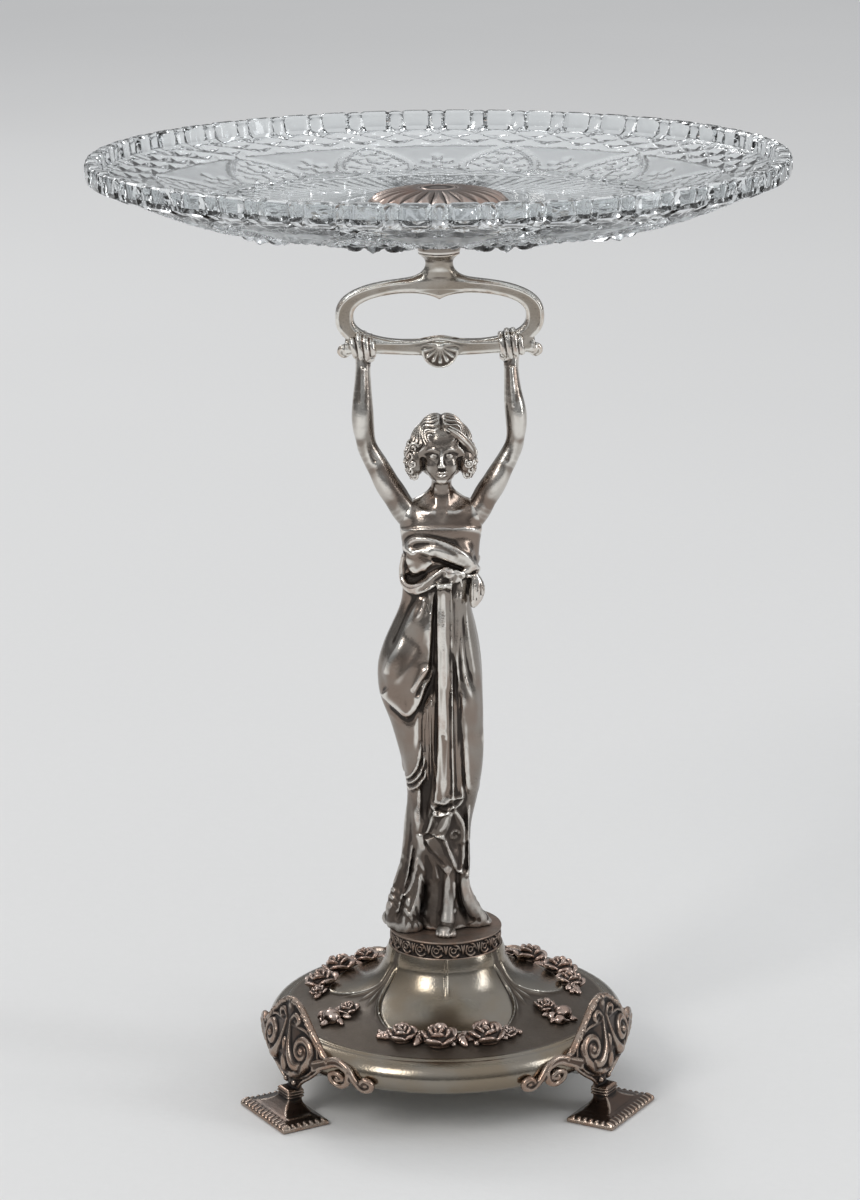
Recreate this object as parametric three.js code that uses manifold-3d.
// Figural fruit stand: a round pressed-glass dish clamped by a fluted rosette screw on a silvered stand, which is a
// draped figure holding up an oval loop, on a round plinth and a domed base with three scrolled feet.
// Millimetres, +Z up, the floor at z = 0, the stand's axis on x = y = 0, the figure facing -Y.
// Left and right are as seen from the front.
import * as THREE from "three";
import { mergeVertices } from "three/addons/utils/BufferGeometryUtils.js";
import Module from "manifold-3d";

const wasm = await Module();
wasm.setup();

// Driving heights, from the floor up
const FOOT_RISE = 25; // the base's underside above the floor
const BASE_HEIGHT = 48;
const PLINTH_HEIGHT = 10;
const FIGURE_REACH = 297; // from the figure's underside to the middle of the bar that the hands hold
const NECK_RISE = 47; // from that bar's middle to the neck's top
const SAUCER_HEIGHT = 16;
const GASKET_THICK = 1.2;
const DISH_HEIGHT = 30.3;

// Dish and what clamps it
const DISH_RADIUS = 170;
const DISH_FLOOR_RADIUS = 80; // the flat of the floor
const DISH_FLOOR_MARGIN = 4; // where the floor's bare ring starts, beyond the rosette
const DISH_BEND_RADIUS = 118; // where the floor turns up into the side
const DISH_BEND_SOFTNESS = 14;
const DISH_WALL = 5.4;
const DISH_RIM_HEIGHT = 9.5;
const DISH_RIM_WIDTH = 7;
const DISH_HOLE_RADIUS = 4.5;
const SAUCER_RADIUS = 37;
const SAUCER_EDGE = 2.5;
const GASKET_WIDTH = 22;
const FELT_THICK = 0.8;
const FELT_WIDTH = 12;
const ROSETTE_RADIUS = 34;
const ROSETTE_HEIGHT = 7;
const ROSETTE_WALL = 2;
const ROSETTE_FLUTES = 24;
const ROSETTE_FLUTE_DEPTH = 0.9;
const ROSETTE_BOSS_RADIUS = 6;
const SCREW_RADIUS = 3;
const SCREW_ENGAGEMENT = 8; // how much of the screw is in the neck's thread

// Loop, with its neck, shell and finials
const LOOP_HALF_WIDTH = 50.9;
const LOOP_HEIGHT = 34.6; // from the bar's middle to the loop's top
const LOOP_LIMB_WIDTH = 8.9;
const LOOP_DEPTH = 8;
const BAR_HEIGHT = 6.6;
const SHELL_RADIUS = 9.3;
const SHELL_DEPTH = 5;
const FINIAL_RADIUS = 4;
const FINIAL_SETBACK = 4.6; // the finial's middle, in from the loop's widest
const NECK_RADIUS = 6.3;
const NECK_FLANGE_RADIUS = 10.2;
const NECK_FOOT_HALF_WIDTH = 13.7;

// Figure
const GRIP_X = 36; // the middle of each fist
const FIST_SIZE = [6.6, 8.4, 7.8];
const FIST_RISE = 2.4; // the fist's middle above the bar's

// Plinth and base
const PLINTH_RADIUS = 28.5;
const BASE_RADIUS = 90.7;
const BASE_WALL = 2.5;
const ROLL_RADIUS = 8; // the half-round that runs round the base's edge
const FLANGE_WIDTH = 14;
const FLANGE_THICK = 2.2;

// Feet and their screws
const FOOT_COUNT = 3;
const PAD_WIDTH = 46.7;
const PAD_DEPTH = 26;
const PAD_THICK = 3;
const PAD_OVERHANG = 16.8; // the pad's outer edge beyond the base
const COLLAR_Z = 13.5;
const COLLAR_WIDTH = 11;
const COLLAR_DEPTH = 8;
const SHIELD_THICK = 4.6;
const SHIELD_HALF_ARC = THREE.MathUtils.degToRad(21);
const SHIELD_SHOULDER_RISE = 12; // the shield's outer corners above the base's underside
const SHIELD_TIP_RISE = 35; // the shield's tip above the base's underside
const SHIELD_LEAN = 6; // how far the tip leans in over the base
const ARM_HALF_ARC = THREE.MathUtils.degToRad(34);
const ARM_RADIUS = 3.2;
const VOLUTE_RADIUS = 4.4;
const LUG_WIDTH = 13;
const LUG_THICK = 3;
const FOOT_SCREW_RADIUS = 1.9;
const FOOT_SCREW_HEAD_RADIUS = 3.6;
const FOOT_SCREW_HEAD_HEIGHT = 2.4;
const FOOT_WASHER_RADIUS = 4.6;
const FOOT_WASHER_THICK = 1;
const BOSS_RADIUS = 4;
const BOSS_HEIGHT = 5;

// Flower relief laid on the base
const GARLAND_HALF_ARC = THREE.MathUtils.degToRad(30);
const GARLAND_CIRCLE = 65;
const GARLAND_RADIUS = 4;
const ROSE_RADIUS = 8;
const SPRAY_CIRCLE = 66;
const SPRAY_ROSE_RADIUS = 5.4;

// Tie rod that draws figure, plinth and base together
const TIE_RADIUS = 3;
const TIE_IN_FIGURE = 17;
const TIE_WASHER_RADIUS = 15;
const TIE_WASHER_THICK = 1.8;
const TIE_NUT_RADIUS = 5.8;
const TIE_NUT_HEIGHT = 5;
const TIE_BELOW_NUT = 3;

// Clearances
const HOLE_CLEARANCE = 0.35; // radial, round a screw or rod
const SEAT_GAP = 0.3; // between pieces that are drawn, soldered or laid together

// Heights worked out from the stack
const BASE_Z = FOOT_RISE;
const BASE_TOP_Z = BASE_Z + BASE_HEIGHT;
const PLINTH_Z = BASE_TOP_Z + SEAT_GAP;
const PLINTH_TOP_Z = PLINTH_Z + PLINTH_HEIGHT;
const FIGURE_Z = PLINTH_TOP_Z + SEAT_GAP;
const BAR_Z = FIGURE_Z + FIGURE_REACH;
const LOOP_TOP_Z = BAR_Z + LOOP_HEIGHT;
const NECK_TOP_Z = BAR_Z + NECK_RISE;
const SAUCER_Z = NECK_TOP_Z + SEAT_GAP;
const SAUCER_TOP_Z = SAUCER_Z + SAUCER_HEIGHT;
const GASKET_Z = SAUCER_TOP_Z + SEAT_GAP;
const DISH_Z = GASKET_Z + GASKET_THICK + SEAT_GAP;
const DISH_FLOOR_Z = DISH_Z + DISH_WALL;
const FELT_Z = DISH_FLOOR_Z + SEAT_GAP;
const ROSETTE_Z = FELT_Z + FELT_THICK + SEAT_GAP;

const { lerp } = THREE.MathUtils;
const vec = (x, y, z) => new THREE.Vector3(x, y, z);
const polar = (radius, angle, z) => vec(radius * Math.cos(angle), radius * Math.sin(angle), z);

// A geometry as a manifold-3d solid: shared vertices merged, collapsed triangles dropped, faces turned outwards.
function solid(geometry) {
  const bare = geometry.clone();
  bare.deleteAttribute("normal");
  bare.deleteAttribute("uv");
  const merged = mergeVertices(bare, 1e-4);
  const index = merged.index.array;
  const kept = [];
  for (let i = 0; i < index.length; i += 3) {
    const [a, b, c] = [index[i], index[i + 1], index[i + 2]];
    if (a !== b && b !== c && a !== c) kept.push(a, b, c);
  }
  const vertProperties = merged.attributes.position.array;
  const build = (triVerts) => new wasm.Manifold(new wasm.Mesh({ numProp: 3, vertProperties, triVerts }));
  const made = build(new Uint32Array(kept));
  return made.volume() > 0 ? made : build(new Uint32Array(kept.reverse()));
}

function geometryOf(manifold) {
  const mesh = manifold.getMesh();
  const points = new Float32Array(mesh.numVert * 3);
  for (let i = 0; i < mesh.numVert; i++) {
    points.set(mesh.vertProperties.subarray(i * mesh.numProp, i * mesh.numProp + 3), i * 3);
  }
  const geometry = new THREE.BufferGeometry();
  geometry.setAttribute("position", new THREE.BufferAttribute(points, 3));
  geometry.setIndex(new THREE.BufferAttribute(mesh.triVerts, 1));
  geometry.computeVertexNormals();
  return geometry;
}

const join = (solids) => solids.reduce((whole, piece) => whole.add(piece));

// A solid turned round the Z axis from a profile of [radius, height] points, closed on itself or on the axis.
function turned(profile, segments = 40) {
  const points = profile.map(([r, z]) => new THREE.Vector2(r, z));
  if (profile[0][0] > 0) points.push(points[0].clone());
  return solid(new THREE.LatheGeometry(points, segments).rotateX(Math.PI / 2));
}

const ring = (inner, outer, low, high, segments = 32) =>
  turned([[inner, low], [outer, low], [outer, high], [inner, high]], segments);

const rod = (radius, low, high, segments = 20) =>
  turned([[0, low], [radius, low], [radius, high], [0, high]], segments);

// A solid skinned over rings that all hold the same number of points, each end closed by a fan round its middle.
function skinned(rings) {
  const count = rings[0].length;
  const last = rings.length - 1;
  const middle = (points) => points.reduce((sum, p) => sum.add(p), vec(0, 0, 0)).divideScalar(count);
  const points = [...rings.flat(), middle(rings[0]), middle(rings[last])];
  const [start, end] = [points.length - 2, points.length - 1];
  const index = [];
  for (let i = 0; i < count; i++) {
    const j = (i + 1) % count;
    for (let k = 0; k < last; k++) {
      const [a, b, c, d] = [k * count + i, k * count + j, (k + 1) * count + j, (k + 1) * count + i];
      index.push(a, b, c, a, c, d);
    }
    index.push(start, j, i, end, last * count + i, last * count + j);
  }
  const geometry = new THREE.BufferGeometry().setFromPoints(points);
  geometry.setIndex(index);
  return solid(geometry);
}

// A level ellipse of points round [x, y, z].
const ellipse = ([x, y, z], halfX, halfY, count = 20) =>
  Array.from({ length: count }, (_, i) => {
    const a = (2 * Math.PI * i) / count;
    return vec(x + halfX * Math.cos(a), y + halfY * Math.sin(a), z);
  });

const rectangle = ([x, y, z], halfX, halfY) =>
  [[-1, -1], [1, -1], [1, 1], [-1, 1]].map(([u, v]) => vec(x + u * halfX, y + v * halfY, z));

// A round limb along a smooth curve through { at, radius } stations.
function limb(stations, steps = 9, count = 10) {
  const curve = new THREE.CatmullRomCurve3(stations.map((s) => s.at), false, "centripetal");
  const frames = curve.computeFrenetFrames(steps, false);
  const rings = Array.from({ length: steps + 1 }, (_, k) => {
    const centre = curve.getPointAt(k / steps);
    const place = curve.getUtoTmapping(k / steps) * (stations.length - 1);
    const low = Math.min(Math.floor(place), stations.length - 2);
    const radius = lerp(stations[low].radius, stations[low + 1].radius, place - low);
    return Array.from({ length: count }, (_, i) => {
      const a = (2 * Math.PI * i) / count;
      return centre
        .clone()
        .addScaledVector(frames.normals[k], radius * Math.cos(a))
        .addScaledVector(frames.binormals[k], radius * Math.sin(a));
    });
  });
  return skinned(rings);
}

function ball([x, y, z], [halfX, halfY, halfZ], across = 10, down = 7) {
  const geometry = new THREE.SphereGeometry(1, across, down).rotateX(Math.PI / 2);
  return solid(geometry.scale(halfX, halfY, halfZ).translate(x, y, z));
}

const block = ([x, y, z], [wide, deep, high]) => solid(new THREE.BoxGeometry(wide, deep, high).translate(x, y, z));

// A flat outline in X and Z as a solid of the given depth, centred on y = 0.
function slab(shape, depth) {
  const geometry = new THREE.ExtrudeGeometry(shape, { depth, bevelEnabled: false });
  return solid(geometry.translate(0, 0, -depth / 2).rotateX(Math.PI / 2));
}

const about = (manifold, angle) => manifold.rotate([0, 0, THREE.MathUtils.radToDeg(angle)]);

// Glass dish: a flat floor that bends up into a straight side, under a thick upright rim
function dishRise(radius) {
  const slope = (DISH_HEIGHT - DISH_RIM_HEIGHT) / (DISH_RADIUS - DISH_BEND_RADIUS);
  const bent = (r) => {
    const x = r - DISH_BEND_RADIUS;
    return (slope / 2) * (x + Math.hypot(x, DISH_BEND_SOFTNESS));
  };
  return bent(radius) - bent(DISH_FLOOR_RADIUS);
}

function glassDish() {
  const rimInner = DISH_RADIUS - DISH_RIM_WIDTH;
  const top = DISH_Z + DISH_HEIGHT;
  const shares = [0, 0.22, 0.38, 0.55, 0.75, 1];
  const side = shares.map((share) => lerp(DISH_FLOOR_RADIUS, rimInner, share));
  const chamfer = 1.2;
  return turned(
    [
      [DISH_HOLE_RADIUS, DISH_Z],
      ...side.map((r) => [r, DISH_Z + dishRise(r)]),
      [DISH_RADIUS, top - DISH_RIM_HEIGHT],
      [DISH_RADIUS, top - chamfer],
      [DISH_RADIUS - chamfer, top],
      [rimInner + chamfer, top],
      ...side.reverse().map((r) => [r, DISH_FLOOR_Z + dishRise(r)]),
      [ROSETTE_RADIUS + DISH_FLOOR_MARGIN, DISH_FLOOR_Z],
      [DISH_HOLE_RADIUS, DISH_FLOOR_Z],
    ],
    48,
  );
}

// Rosette: a fluted dome, hollow round a boss that takes the screw
function rosetteCap() {
  const count = ROSETTE_FLUTES * 2;
  const dome = (share) => ROSETTE_HEIGHT * Math.sqrt(1 - share ** 2.4);
  const fluted = (share, z) => {
    const depth = share > 0.3 ? ROSETTE_FLUTE_DEPTH * share : 0;
    return Array.from({ length: count }, (_, i) => {
      const groove = i % 2 ? depth : 0;
      return polar(ROSETTE_RADIUS * share - groove, (2 * Math.PI * i) / count, z - groove / 2);
    });
  };
  const shares = [0.98, 0.9, 0.75, 0.55, 0.35, 0.25];
  const rings = shares.map((share) => fluted(share, ROSETTE_Z + dome(share)));
  rings.unshift(Array.from({ length: count }, (_, i) => polar(ROSETTE_RADIUS, (2 * Math.PI * i) / count, ROSETTE_Z)));
  const edge = (ROSETTE_RADIUS - ROSETTE_WALL - ROSETTE_FLUTE_DEPTH) / ROSETTE_RADIUS;
  const under = [edge, 0.7, 0.45, ROSETTE_BOSS_RADIUS / ROSETTE_RADIUS];
  const hollow = turned(
    [
      [ROSETTE_BOSS_RADIUS, ROSETTE_Z - 1],
      [ROSETTE_RADIUS * edge, ROSETTE_Z - 1],
      ...under.map((share) => [ROSETTE_RADIUS * share, ROSETTE_Z + Math.max(dome(share) - 1.6 * ROSETTE_WALL, 0.4)]),
    ],
    16,
  );
  const socket = rod(SCREW_RADIUS + HOLE_CLEARANCE, ROSETTE_Z - 1, ROSETTE_Z + ROSETTE_HEIGHT - ROSETTE_WALL);
  return skinned(rings).subtract(hollow).subtract(socket);
}

function rosetteFelt() {
  const outer = ROSETTE_RADIUS - ROSETTE_WALL;
  return ring(outer - FELT_WIDTH, outer, FELT_Z, FELT_Z + FELT_THICK);
}

const rosetteScrew = () =>
  rod(SCREW_RADIUS, NECK_TOP_Z - SCREW_ENGAGEMENT, ROSETTE_Z + ROSETTE_HEIGHT - ROSETTE_WALL - SEAT_GAP);

// Gasket and saucer: a soft ring under the glass, on a trumpet-shaped plate
function dishGasket() {
  const outer = SAUCER_RADIUS - 1;
  return ring(outer - GASKET_WIDTH, outer, GASKET_Z, GASKET_Z + GASKET_THICK);
}

function dishSaucer() {
  const bore = SCREW_RADIUS + HOLE_CLEARANCE;
  const edgeZ = SAUCER_TOP_Z - SAUCER_EDGE;
  const flare = [0, 0.3, 0.6, 0.85, 1].map((share) => [
    lerp(NECK_FLANGE_RADIUS, SAUCER_RADIUS, share ** 2.2),
    lerp(SAUCER_Z, edgeZ, share),
  ]);
  return turned([[bore, SAUCER_Z], ...flare, [SAUCER_RADIUS, SAUCER_TOP_Z], [bore, SAUCER_TOP_Z]], 32);
}

// Loop frame: an oval hoop and the straight bar that closes it below, each grown by a clearance
function hoopPoints(halfWidth, halfHeight, middle, count = 32) {
  const squareness = 2 / 2.5;
  const bend = (value) => Math.sign(value) * Math.abs(value) ** squareness;
  return Array.from({ length: count }, (_, i) => {
    const a = (2 * Math.PI * i) / count;
    return new THREE.Vector2(halfWidth * bend(Math.cos(a)), middle + halfHeight * bend(Math.sin(a)));
  });
}

function loopFrame(grow) {
  const middle = BAR_Z + (LOOP_HEIGHT - BAR_HEIGHT / 2) / 2;
  const halfHeight = (LOOP_HEIGHT + BAR_HEIGHT / 2) / 2;
  const hoop = new THREE.Shape(hoopPoints(LOOP_HALF_WIDTH + grow, halfHeight + grow, middle));
  const inner = [LOOP_HALF_WIDTH - LOOP_LIMB_WIDTH - grow, halfHeight - BAR_HEIGHT - grow];
  hoop.holes.push(new THREE.Path(hoopPoints(...inner, middle).reverse()));
  const depth = LOOP_DEPTH + 2 * grow;
  const reach = LOOP_HALF_WIDTH - FINIAL_SETBACK;
  const bar = block([0, 0, BAR_Z], [2 * reach, depth, BAR_HEIGHT + 2 * grow]);
  const radius = FINIAL_RADIUS + grow;
  const finials = [-1, 1].map((side) => ball([side * reach, 0, BAR_Z], [radius, radius, radius]));
  return join([slab(hoop, depth), bar, ...finials]);
}

function loopHandle() {
  const flutes = 7;
  const lip = Array.from({ length: flutes * 2 + 1 }, (_, i) => {
    const a = Math.PI + (Math.PI * i) / (flutes * 2);
    const radius = SHELL_RADIUS - (i % 2 ? 0 : 0.8);
    return new THREE.Vector2(radius * Math.cos(a), BAR_Z + radius * Math.sin(a));
  });
  const shell = slab(new THREE.Shape(lip), SHELL_DEPTH);
  const rise = NECK_TOP_Z - LOOP_TOP_Z;
  const depth = LOOP_DEPTH / 2;
  const neck = skinned([
    ellipse([0, 0, LOOP_TOP_Z - BAR_HEIGHT / 2], NECK_FOOT_HALF_WIDTH, depth, 16),
    ellipse([0, 0, LOOP_TOP_Z + 0.08 * rise], NECK_FOOT_HALF_WIDTH * 0.85, depth * 1.1, 16),
    ellipse([0, 0, LOOP_TOP_Z + 0.25 * rise], NECK_RADIUS * 1.15, NECK_RADIUS, 16),
    ellipse([0, 0, LOOP_TOP_Z + 0.5 * rise], NECK_RADIUS, NECK_RADIUS, 16),
    ellipse([0, 0, LOOP_TOP_Z + 0.85 * rise], NECK_FLANGE_RADIUS - 1.6, NECK_FLANGE_RADIUS - 1.6, 16),
    ellipse([0, 0, NECK_TOP_Z], NECK_FLANGE_RADIUS, NECK_FLANGE_RADIUS, 16),
  ]);
  const beakHeight = 3;
  const beak = ball([0, 0, LOOP_TOP_Z - BAR_HEIGHT], [beakHeight * 2, depth - 0.5, beakHeight]);
  const thread = rod(SCREW_RADIUS + HOLE_CLEARANCE, NECK_TOP_Z - SCREW_ENGAGEMENT - 1, NECK_TOP_Z + 1);
  return join([loopFrame(0), shell, neck, beak]).subtract(thread);
}

// Figure: its heights are drawn for FIGURE_NOMINAL and follow FIGURE_REACH
const FIGURE_NOMINAL = 297;
const figureZ = (height) => FIGURE_Z + (height * FIGURE_REACH) / FIGURE_NOMINAL;

// A casting skinned over level ellipses, each [height, x, half width, y, half depth].
const draped = (stations, count = 20) =>
  skinned(stations.map(([h, x, halfX, y, halfY]) => ellipse([x, y, figureZ(h)], halfX, halfY, count)));

// An arm from its shoulder joint to the fist, grown by a clearance that also sets its joint face back.
function armLimb(side, grow) {
  const at = (x, y, height) => vec(side * x, y, figureZ(height));
  const shoulder = at(17.5, 1, 210);
  const elbow = at(36.6, 2, 249.5);
  const back = elbow.clone().sub(shoulder).setLength(grow);
  const fist = [side * GRIP_X, 0, BAR_Z + FIST_RISE];
  return limb(
    [
      { at: shoulder.clone().sub(back), radius: 6.8 + grow },
      { at: shoulder.clone().lerp(elbow, 0.5), radius: 6.2 + grow },
      { at: elbow, radius: 5.4 + grow },
      { at: at(37.5, 1, 271), radius: 5.2 + grow },
      { at: at(36.6, 0, 284), radius: 4.2 + grow },
      { at: vec(...fist), radius: 4.2 + grow },
    ],
    12,
  ).add(ball(fist, FIST_SIZE.map((half) => half + grow), 12, 8));
}

const figureArm = (side) => armLimb(side, 0).subtract(loopFrame(SEAT_GAP));

function figureBody() {
  const robe = draped([
    [0, -3, 19, 2, 17],
    [14, -3, 15, 1, 13],
    [43, -3.6, 15.4, 0, 12],
    [55, -2.6, 15.5, -1, 12.5],
    [71, -0.7, 18, -1, 13],
    [97, -2, 22, -1, 14],
    [113, -4.6, 25, 0, 15],
    [125, -6.7, 26.4, 1, 15.5],
    [138, -7.1, 25.8, 1, 15.5],
    [149, -5.7, 23.3, 1, 14.5],
    [160, -4.5, 19.5, 0, 13],
    [170, -3.5, 17.5, 0, 11.5],
    [188, -0.8, 20, 0, 12],
    [209, -0.3, 21.5, 0.5, 11.5],
    [216, 0, 17, 1, 8.5],
    [220, 0.4, 8, 1, 6.5],
    [231, 0.6, 4.6, 0, 5],
  ]);
  const train = limb(
    [
      { at: vec(-21, -4, figureZ(4.5)), radius: 6.6 },
      { at: vec(-18, -2, figureZ(20)), radius: 5 },
      { at: vec(-14, 0, figureZ(40)), radius: 4 },
    ],
    5,
  );
  const sash = draped([[34, 0.5, 5, -9, 5], [120, 0, 4.5, -12, 5], [172, 1.5, 6, -9, 5]], 12);
  const foot = ball([1, -15, figureZ(3)], [5.2, 9, 4.4]);
  const head = ball([0.2, -1, figureZ(246)], [12, 12.5, 17], 14, 10);
  const hair = [-1, 1].map((side) => ball([side * 10.5, 2, figureZ(243)], [7.5, 10, 9.5]));
  const below = block([0, 0, FIGURE_Z - 25], [200, 200, 50]);
  const bore = rod(TIE_RADIUS + HOLE_CLEARANCE, FIGURE_Z - 1, FIGURE_Z + TIE_IN_FIGURE + HOLE_CLEARANCE);
  const cuts = [below, bore, armLimb(-1, SEAT_GAP), armLimb(1, SEAT_GAP)];
  return join([robe, train, sash, foot, head, ...hair]).subtract(join(cuts));
}

// Plinth: a turned drum with a bead at each edge
function figurePlinth() {
  const bead = 1.2;
  return turned(
    [
      [TIE_RADIUS + HOLE_CLEARANCE, PLINTH_Z],
      [PLINTH_RADIUS, PLINTH_Z],
      [PLINTH_RADIUS, PLINTH_Z + bead],
      [PLINTH_RADIUS - bead, PLINTH_Z + 2 * bead],
      [PLINTH_RADIUS - bead, PLINTH_TOP_Z - 2 * bead],
      [PLINTH_RADIUS, PLINTH_TOP_Z - bead],
      [PLINTH_RADIUS, PLINTH_TOP_Z],
      [TIE_RADIUS + HOLE_CLEARANCE, PLINTH_TOP_Z],
    ],
    32,
  );
}

// Base: a hollow dome that spreads into a half-round roll with an inward flange
const BASE_SEGMENTS = 36;
const ROLL_CIRCLE = BASE_RADIUS - ROLL_RADIUS;
const ROLL_Z = BASE_Z + ROLL_RADIUS;
const DOME_EDGE_Z = BASE_Z + 2 * ROLL_RADIUS;

function domeProfile(inset) {
  const heights = [[0, 1], [0.04, 0.77], [0.17, 0.475], [0.42, 0.25], [0.71, 0.115], [0.93, 0.03], [1, 0]];
  const rise = BASE_TOP_Z - DOME_EDGE_Z;
  return heights.map(([share, height]) => [
    lerp(PLINTH_RADIUS - 0.5 - inset, ROLL_CIRCLE, share),
    DOME_EDGE_Z - inset + rise * height,
  ]);
}

function rollArc(radius, steps = 6) {
  return Array.from({ length: steps + 1 }, (_, i) => {
    const a = Math.PI / 2 - (Math.PI * i) / steps;
    return [ROLL_CIRCLE + radius * Math.cos(a), ROLL_Z + radius * Math.sin(a)];
  });
}

const footAngle = (index) => Math.PI / 2 + (2 * Math.PI * index) / FOOT_COUNT;
const SCREW_CIRCLE = ROLL_CIRCLE - FLANGE_WIDTH / 2;

function baseShell() {
  const innerEdge = ROLL_CIRCLE - FLANGE_WIDTH;
  const flangeTop = BASE_Z + FLANGE_THICK;
  const bore = TIE_RADIUS + HOLE_CLEARANCE;
  const innerRoll = rollArc(ROLL_RADIUS - BASE_WALL).slice(1, -1);
  const shell = turned(
    [
      [innerEdge, BASE_Z],
      ...rollArc(ROLL_RADIUS).slice(1).reverse(),
      ...domeProfile(0).reverse(),
      [bore, BASE_TOP_Z],
      [bore, BASE_TOP_Z - BASE_WALL],
      ...domeProfile(BASE_WALL),
      ...innerRoll,
      [ROLL_CIRCLE, flangeTop],
      [innerEdge, flangeTop],
    ],
    BASE_SEGMENTS,
  );
  const angles = Array.from({ length: FOOT_COUNT }, (_, i) => footAngle(i));
  const atScrew = (manifold, angle) => about(manifold.translate([SCREW_CIRCLE, 0, 0]), angle);
  const boss = rod(BOSS_RADIUS, BASE_Z + FLANGE_THICK / 2, flangeTop + BOSS_HEIGHT, 12);
  const hole = rod(FOOT_SCREW_RADIUS + HOLE_CLEARANCE, BASE_Z - 1, flangeTop + BOSS_HEIGHT + 1, 12);
  const bosses = angles.map((angle) => atScrew(boss, angle));
  const holes = angles.map((angle) => atScrew(hole, angle));
  return join([shell, ...bosses]).subtract(join(holes));
}

// The base with a seat's clearance over it, to cut the undersides of the flowers.
function baseSeat() {
  const lift = SEAT_GAP * 1.2;
  const roll = rollArc(ROLL_RADIUS + lift).slice(1, -1).reverse();
  const dome = domeProfile(0).reverse().map(([r, z]) => [r, z + lift]);
  return turned([[0, BASE_Z], [ROLL_CIRCLE, BASE_Z], ...roll, ...dome, [0, BASE_TOP_Z + lift]], BASE_SEGMENTS);
}

// Flowers: a garland of leaves and roses along an arc, and a pair of blooms over each foot
function domeHeight(radius) {
  const profile = domeProfile(0);
  const k = Math.max(1, profile.findIndex(([r]) => r >= radius));
  const [[r0, z0], [r1, z1]] = [profile[k - 1], profile[k]];
  return lerp(z0, z1, (radius - r0) / (r1 - r0));
}

function bloom(radius, circle, angle) {
  const at = polar(circle, angle, domeHeight(circle) + radius * 0.1);
  return ball([at.x, at.y, at.z], [radius, radius, radius * 0.75], 9, 6);
}

function garland(middle, seat) {
  const stations = [-1, -0.5, 0, 0.5, 1].map((share) => ({
    at: polar(GARLAND_CIRCLE, middle + share * GARLAND_HALF_ARC, domeHeight(GARLAND_CIRCLE) + 0.5),
    radius: GARLAND_RADIUS * (1 - 0.45 * Math.abs(share)),
  }));
  const place = (share, radius) => bloom(radius, GARLAND_CIRCLE, middle + share * GARLAND_HALF_ARC);
  const roses = [place(-0.04, ROSE_RADIUS), place(0.52, ROSE_RADIUS), place(-0.6, ROSE_RADIUS * 0.75)];
  return join([limb(stations, 8, 8), ...roses]).subtract(seat);
}

function roseSpray(angle, seat) {
  const inner = SPRAY_CIRCLE - 2 * SPRAY_ROSE_RADIUS + 1;
  const blooms = [bloom(SPRAY_ROSE_RADIUS, SPRAY_CIRCLE, angle), bloom(SPRAY_ROSE_RADIUS * 0.8, inner, angle)];
  const ends = [inner - SPRAY_ROSE_RADIUS, SPRAY_CIRCLE + SPRAY_ROSE_RADIUS + 2];
  const stalk = ends.map((r) => ({ at: polar(r, angle, domeHeight(r) + 0.4), radius: SPRAY_ROSE_RADIUS / 2 }));
  const leaf = limb(stalk, 3, 8);
  return join([...blooms, leaf]).subtract(seat);
}

// Foot, drawn on the +X side: pad, waist and collar, a shield wrapped round the roll, two side arms and an inner lug
const PAD_CIRCLE = BASE_RADIUS + PAD_OVERHANG - PAD_DEPTH / 2;
const WAIST_CIRCLE = BASE_RADIUS;
const SHIELD_TIP_Z = BASE_Z + SHIELD_TIP_RISE;
const LUG_Z = BASE_Z - SEAT_GAP - LUG_THICK;

function shieldInner(z) {
  const face = BASE_RADIUS + 2 * SEAT_GAP;
  if (z > ROLL_Z) return lerp(face, face - SHIELD_LEAN, (z - ROLL_Z) / (SHIELD_TIP_Z - ROLL_Z));
  return lerp(face, WAIST_CIRCLE - COLLAR_DEPTH / 2, (ROLL_Z - z) / (ROLL_Z - COLLAR_Z));
}

function footShield() {
  const shoulderZ = BASE_Z + SHIELD_SHOULDER_RISE;
  const steps = 8;
  const rings = Array.from({ length: steps + 1 }, (_, k) => {
    const share = (2 * k) / steps - 1;
    const off = Math.abs(share);
    const low = lerp(COLLAR_Z - 2, shoulderZ - 3, off ** 0.8);
    const high = lerp(SHIELD_TIP_Z, shoulderZ + 3, off ** 0.7);
    const thick = lerp(SHIELD_THICK, SHIELD_THICK * 0.6, off);
    const middle = THREE.MathUtils.clamp(ROLL_Z, lerp(low, high, 0.3), lerp(low, high, 0.7));
    const heights = [low, (low + middle) / 2, middle, (middle + high) / 2, high];
    const angle = share * SHIELD_HALF_ARC;
    const inner = heights.map((z) => polar(shieldInner(z), angle, z));
    const outer = heights.map((z) => polar(shieldInner(z) + thick, angle, z));
    return [...inner, ...outer.reverse()];
  });
  return skinned(rings);
}

function footArm(side) {
  const face = BASE_RADIUS + 2 * SEAT_GAP;
  const at = (share, z, radius) => ({ at: polar(face + radius, side * share * ARM_HALF_ARC, z), radius });
  const stations = [
    at(0.3, ROLL_Z - 1, ARM_RADIUS),
    at(0.62, ROLL_Z + 1, ARM_RADIUS),
    at(0.82, ROLL_Z - 1.5, ARM_RADIUS),
    at(1, ROLL_Z - 3, VOLUTE_RADIUS),
  ];
  return limb(stations, 6, 7);
}

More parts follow.
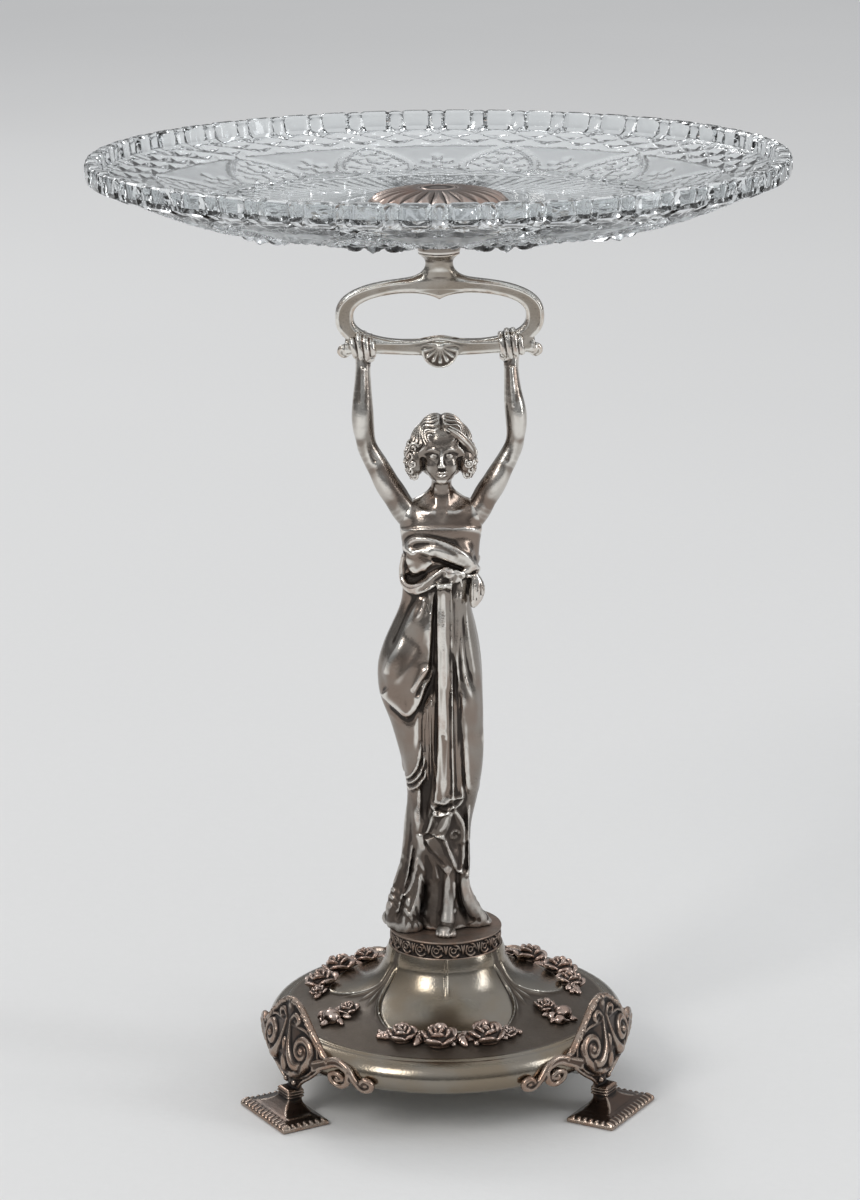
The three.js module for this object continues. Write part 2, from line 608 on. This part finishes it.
function foot() {
  const pad = block([PAD_CIRCLE, 0, PAD_THICK / 2], [PAD_DEPTH, PAD_WIDTH, PAD_THICK]);
  const waist = skinned([
    rectangle([PAD_CIRCLE, 0, PAD_THICK / 2], PAD_DEPTH * 0.46, PAD_WIDTH * 0.46),
    rectangle([PAD_CIRCLE, 0, PAD_THICK + 1], PAD_DEPTH * 0.4, PAD_WIDTH * 0.36),
    rectangle([lerp(PAD_CIRCLE, WAIST_CIRCLE, 0.5), 0, PAD_THICK + 3.5], PAD_DEPTH * 0.27, PAD_WIDTH * 0.22),
    rectangle([WAIST_CIRCLE, 0, COLLAR_Z - 3], COLLAR_DEPTH / 2, COLLAR_WIDTH / 2),
    rectangle([WAIST_CIRCLE, 0, COLLAR_Z + 2], COLLAR_DEPTH / 2, COLLAR_WIDTH / 2),
  ]);
  const lugStart = SCREW_CIRCLE - FLANGE_WIDTH / 2 + 1;
  const lugEnd = BASE_RADIUS + SEAT_GAP + SHIELD_THICK / 2;
  const lugSize = [lugEnd - lugStart, LUG_WIDTH, LUG_THICK];
  const lug = block([(lugStart + lugEnd) / 2, 0, LUG_Z + LUG_THICK / 2], lugSize);
  const hole = rod(FOOT_SCREW_RADIUS + HOLE_CLEARANCE, LUG_Z - 1, BASE_Z, 14).translate([SCREW_CIRCLE, 0, 0]);
  return join([pad, waist, footShield(), lug, footArm(-1), footArm(1)]).subtract(hole);
}

const WASHER_Z = LUG_Z - SEAT_GAP - FOOT_WASHER_THICK;

const footWasher = () =>
  ring(FOOT_SCREW_RADIUS + HOLE_CLEARANCE, FOOT_WASHER_RADIUS, WASHER_Z, WASHER_Z + FOOT_WASHER_THICK, 16)
    .translate([SCREW_CIRCLE, 0, 0]);

function footScrew() {
  const headTop = WASHER_Z - SEAT_GAP;
  const head = rod(FOOT_SCREW_HEAD_RADIUS, headTop - FOOT_SCREW_HEAD_HEIGHT, headTop, 16);
  const slot = block([0, 0, headTop - FOOT_SCREW_HEAD_HEIGHT], [FOOT_SCREW_HEAD_RADIUS * 3, 1, 1.6]);
  const shank = rod(FOOT_SCREW_RADIUS, headTop - 1, BASE_Z + FLANGE_THICK + BOSS_HEIGHT - 1, 14);
  return head.subtract(slot).add(shank).translate([SCREW_CIRCLE, 0, 0]);
}

// Tie rod with its washer and nut, under the base's top plate
const TIE_WASHER_Z = BASE_TOP_Z - BASE_WALL - SEAT_GAP - TIE_WASHER_THICK;
const TIE_NUT_Z = TIE_WASHER_Z - SEAT_GAP - TIE_NUT_HEIGHT;

const tieRod = () => rod(TIE_RADIUS, TIE_NUT_Z - TIE_BELOW_NUT, FIGURE_Z + TIE_IN_FIGURE);

const tieWasher = () =>
  ring(TIE_RADIUS + HOLE_CLEARANCE, TIE_WASHER_RADIUS, TIE_WASHER_Z, TIE_WASHER_Z + TIE_WASHER_THICK, 28);

const tieNut = () =>
  rod(TIE_NUT_RADIUS, TIE_NUT_Z, TIE_NUT_Z + TIE_NUT_HEIGHT, 6)
    .subtract(rod(TIE_RADIUS + HOLE_CLEARANCE, TIE_NUT_Z - 1, TIE_NUT_Z + TIE_NUT_HEIGHT + 1));

// Materials
const finish = (color, roughness, metalness, more = {}) => ({ color, roughness, metalness, ...more });
const FINISHES = {
  glass: finish(0xdfe4e6, 0.05, 0, { transparent: true, opacity: 0.45 }),
  brightSilver: finish(0xb9b2a8, 0.28, 1),
  agedSilver: finish(0x8d8279, 0.42, 1),
  darkSilver: finish(0x5f554e, 0.5, 1),
  rosyBrass: finish(0xa58a7c, 0.38, 1),
  steel: finish(0x8c8f92, 0.35, 1),
  felt: finish(0x2f3a30, 0.95, 0),
  rubber: finish(0x1f1f1f, 0.85, 0),
};

// Assembly
const group = new THREE.Group();
group.name = "fruit_stand";

function add(name, manifold, finishName) {
  const mesh = new THREE.Mesh(geometryOf(manifold), new THREE.MeshStandardMaterial(FINISHES[finishName]));
  mesh.name = name;
  group.add(mesh);
}

add("glass_dish", glassDish(), "glass");
add("rosette_cap", rosetteCap(), "rosyBrass");
add("rosette_felt", rosetteFelt(), "felt");
add("rosette_screw", rosetteScrew(), "steel");
add("dish_gasket", dishGasket(), "rubber");
add("dish_saucer", dishSaucer(), "agedSilver");
add("loop_handle", loopHandle(), "brightSilver");
add("figure_body", figureBody(), "agedSilver");
add("figure_arm_left", figureArm(-1), "agedSilver");
add("figure_arm_right", figureArm(1), "agedSilver");
add("figure_plinth", figurePlinth(), "darkSilver");
add("base_shell", baseShell(), "agedSilver");
add("tie_rod", tieRod(), "steel");
add("tie_washer", tieWasher(), "steel");
add("tie_nut", tieNut(), "steel");

const seat = baseSeat();
const oneFoot = foot();
["rear", "left", "right"].forEach((where, index) => {
  const angle = footAngle(index);
  add(`foot_${where}`, about(oneFoot, angle), "darkSilver");
  add(`foot_screw_${where}`, about(footScrew(), angle), "steel");
  add(`foot_washer_${where}`, about(footWasher(), angle), "steel");
  add(`rose_spray_${where}`, roseSpray(angle, seat), "rosyBrass");
});
["front", "rear_right", "rear_left"].forEach((where, index) => {
  const angle = footAngle(index) + Math.PI;
  add(`garland_${where}`, garland(angle, seat), "rosyBrass");
});

export default group;
